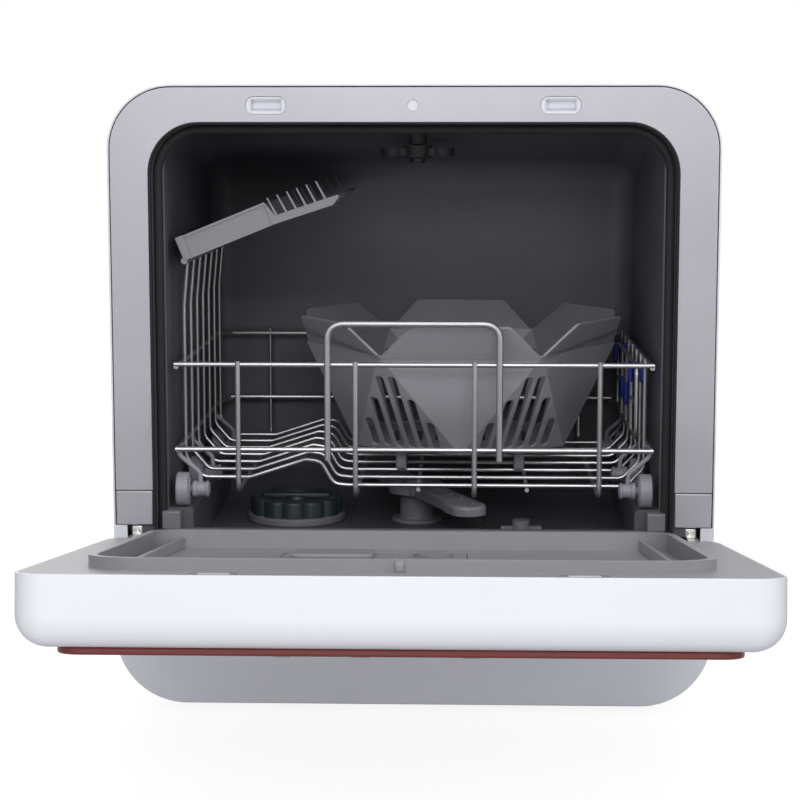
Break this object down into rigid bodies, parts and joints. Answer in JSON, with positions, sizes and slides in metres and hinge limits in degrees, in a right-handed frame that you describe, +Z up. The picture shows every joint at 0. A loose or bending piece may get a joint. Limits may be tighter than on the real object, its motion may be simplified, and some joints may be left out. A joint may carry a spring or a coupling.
{
  "type": "countertop dishwasher",
  "caption": "Small countertop dishwasher with its door open and a wheeled wire rack, a fruit basket and a tilting cup tray inside.",
  "frame": {"origin": "on the worktop under the middle of the open object's bounding box", "axes": "+Z up, -Y towards the open door, +X to the right seen from the front"},
  "size_m": [0.42, 0.7251, 0.438],
  "materials": {
    "white_sheet": "satin white paint",
    "white_plastic": "smooth white moulding",
    "frame_silver": "satin silver paint",
    "base_silver": "matt silver-grey moulding",
    "tub_grey": "dark grey moulding",
    "liner_grey": "satin light-grey moulding",
    "panel_red": "brick-red gloss",
    "seal_rubber": "dark rubber",
    "rack_wire": "light-grey plastic coated wire",
    "wheel_grey": "light-grey moulding",
    "basket_grey": "grey moulding",
    "clip_blue": "dark blue moulding",
    "cap_green": "dark green moulding",
    "arm_grey": "grey moulding",
    "bracket_steel": "plain steel",
    "pump_grey": "dark moulding",
    "motor_steel": "plain steel",
    "softener_white": "natural white moulding",
    "board_green": "green circuit board",
    "strip_pale": "pale gloss strip",
    "button_grey": "grey gloss button",
    "glass_clear": "translucent moulding"
  },
  "bodies": {
    "cabinet": {"casing": "white_sheet", "base_tray": "base_silver", "lower_front_panel": "base_silver", "front_frame": "frame_silver", "hinge_covers": "frame_silver", "rear_panel": "white_sheet", "rear_screws": "motor_steel", "feet": "seal_rubber", "tub": "tub_grey", "door_seal": "seal_rubber", "rail_stops": "wheel_grey", "ceiling_nozzle": "pump_grey", "sump": "pump_grey", "filter_plate": "motor_steel", "spray_pedestal": "arm_grey", "water_softener": "softener_white", "wash_pump": "pump_grey", "heater": "motor_steel", "drain_pump": "pump_grey", "inlet_valve": "softener_white", "drain_outlet": "pump_grey", "riser_pipe": "glass_clear", "water_distributor": "glass_clear", "hinge_brackets": "bracket_steel", "door_springs": "motor_steel", "latch_keepers": "white_plastic", "cord_gland": "pump_grey"},
    "door": {"door_shell": "white_plastic", "door_panel": "panel_red", "door_liner": "liner_grey", "door_hinge_plates": "bracket_steel", "hinge_pins": "bracket_steel", "control_strip": "strip_pale", "control_board": "board_green", "detergent_cup": "liner_grey"},
    "latch": {"latch_bar": "white_plastic"},
    "power": {"power_button": "button_grey"},
    "program": {"program_button": "button_grey"},
    "start": {"start_button": "button_grey"},
    "lid": {"dispenser_lid": "wheel_grey"},
    "rinse_cap": {"rinse_aid_cap": "arm_grey"},
    "cables": {"door_cables": "motor_steel"},
    "plunger": {"door_switch_plunger": "pump_grey"},
    "salt_lid": {"salt_cap": "cap_green"},
    "filter": {"filter_cup": "arm_grey"},
    "arm": {"lower_spray_arm": "arm_grey"},
    "rotor": {"ceiling_spray_rotor": "pump_grey"},
    "rack": {"rack_front": "rack_wire", "rack_rear": "rack_wire", "rack_left": "rack_wire", "rack_right": "rack_wire", "rack_floor": "rack_wire", "plate_shelf": "rack_wire", "shelf_clips": "clip_blue", "wheel_hubs": "wheel_grey"},
    "wheels_front": {"front_wheels": "wheel_grey"},
    "wheels_middle": {"middle_wheels": "wheel_grey"},
    "wheels_rear": {"rear_wheels": "wheel_grey"},
    "basket": {"fruit_basket": "basket_grey"},
    "tray": {"cup_tray": "basket_grey"}
  },
  "joints": [
    {"name": "door_hinge", "type": "hinge", "parent": "cabinet", "child": "door", "pos_m": [0, -0.04603, 0.118], "axis": [-1, 0, 0], "range_deg": [0, 82]},
    {"name": "rack_slide", "type": "slide", "parent": "cabinet", "child": "rack", "axis": [0, 1, 0], "range_m": [-0.165, 0]},
    {"name": "front_wheels_spin", "type": "hinge", "parent": "rack", "child": "wheels_front", "pos_m": [0, -0.01202, 0.154], "axis": [-1, 0, 0], "range_deg": [-790, 1]},
    {"name": "middle_wheels_spin", "type": "hinge", "parent": "rack", "child": "wheels_middle", "pos_m": [0, 0.05797, 0.154], "axis": [-1, 0, 0], "range_deg": [-790, 1]},
    {"name": "rear_wheels_spin", "type": "hinge", "parent": "rack", "child": "wheels_rear", "pos_m": [0, 0.19398, 0.154], "axis": [-1, 0, 0], "range_deg": [-790, 1]},
    {"name": "basket_lift", "type": "slide", "parent": "rack", "child": "basket", "axis": [0, 0, 1], "range_m": [0, 0.045]},
    {"name": "tray_hinge", "type": "hinge", "parent": "rack", "child": "tray", "pos_m": [-0.1615, 0.09298, 0.316], "axis": [0, -1, 0], "range_deg": [-16, 8]},
    {"name": "arm_spin", "type": "hinge", "parent": "cabinet", "child": "arm", "pos_m": [0, 0.09997, 0.133], "axis": [0, 0, 1], "continuous": true},
    {"name": "rotor_spin", "type": "hinge", "parent": "cabinet", "child": "rotor", "pos_m": [0, 0.11298, 0.391], "axis": [0, 0, 1], "continuous": true},
    {"name": "salt_cap_turn", "type": "hinge", "parent": "cabinet", "child": "salt_lid", "pos_m": [-0.093, 0.10497, 0.116], "axis": [0, 0, 1], "range_deg": [0, 540]},
    {"name": "filter_turn", "type": "hinge", "parent": "cabinet", "child": "filter", "pos_m": [0.078, 0.03497, 0.11], "axis": [0, 0, 1], "range_deg": [0, 90]},
    {"name": "door_cable_pull", "type": "slide", "parent": "cabinet", "child": "cables", "axis": [0, 1, 0], "range_m": [0, 0.0258]},
    {"name": "door_switch_press", "type": "slide", "parent": "cabinet", "child": "plunger", "axis": [0, 1, 0], "range_m": [0, 0.003], "stiffness_N_per_m": 200},
    {"name": "latch_throw", "type": "slide", "parent": "door", "child": "latch", "axis": [0, 0.1392, 0.9903], "range_m": [0, 0.008], "stiffness_N_per_m": 300},
    {"name": "power_press", "type": "slide", "parent": "door", "child": "power", "axis": [0, 0.1392, 0.9903], "range_m": [0, 0.0015], "stiffness_N_per_m": 500},
    {"name": "program_press", "type": "slide", "parent": "door", "child": "program", "axis": [0, 0.1392, 0.9903], "range_m": [0, 0.0015], "stiffness_N_per_m": 500},
    {"name": "start_press", "type": "slide", "parent": "door", "child": "start", "axis": [0, 0.1392, 0.9903], "range_m": [0, 0.0015], "stiffness_N_per_m": 500},
    {"name": "lid_slide", "type": "slide", "parent": "door", "child": "lid", "axis": [0, -0.9903, 0.1392], "range_m": [0, 0.042]},
    {"name": "rinse_cap_turn", "type": "hinge", "parent": "door", "child": "rinse_cap", "pos_m": [0.016, -0.14173, 0.13398], "axis": [0, 0.1392, 0.9903], "range_deg": [0, 90]}
  ],
  "couplings": [
    {"joint": "front_wheels_spin", "follows": "rack_slide", "rad_per_m": 83.333},
    {"joint": "middle_wheels_spin", "follows": "rack_slide", "rad_per_m": 83.333},
    {"joint": "rear_wheels_spin", "follows": "rack_slide", "rad_per_m": 83.333},
    {"joint": "door_cable_pull", "follows": "door_hinge", "m_per_rad": 0.018}
  ]
}
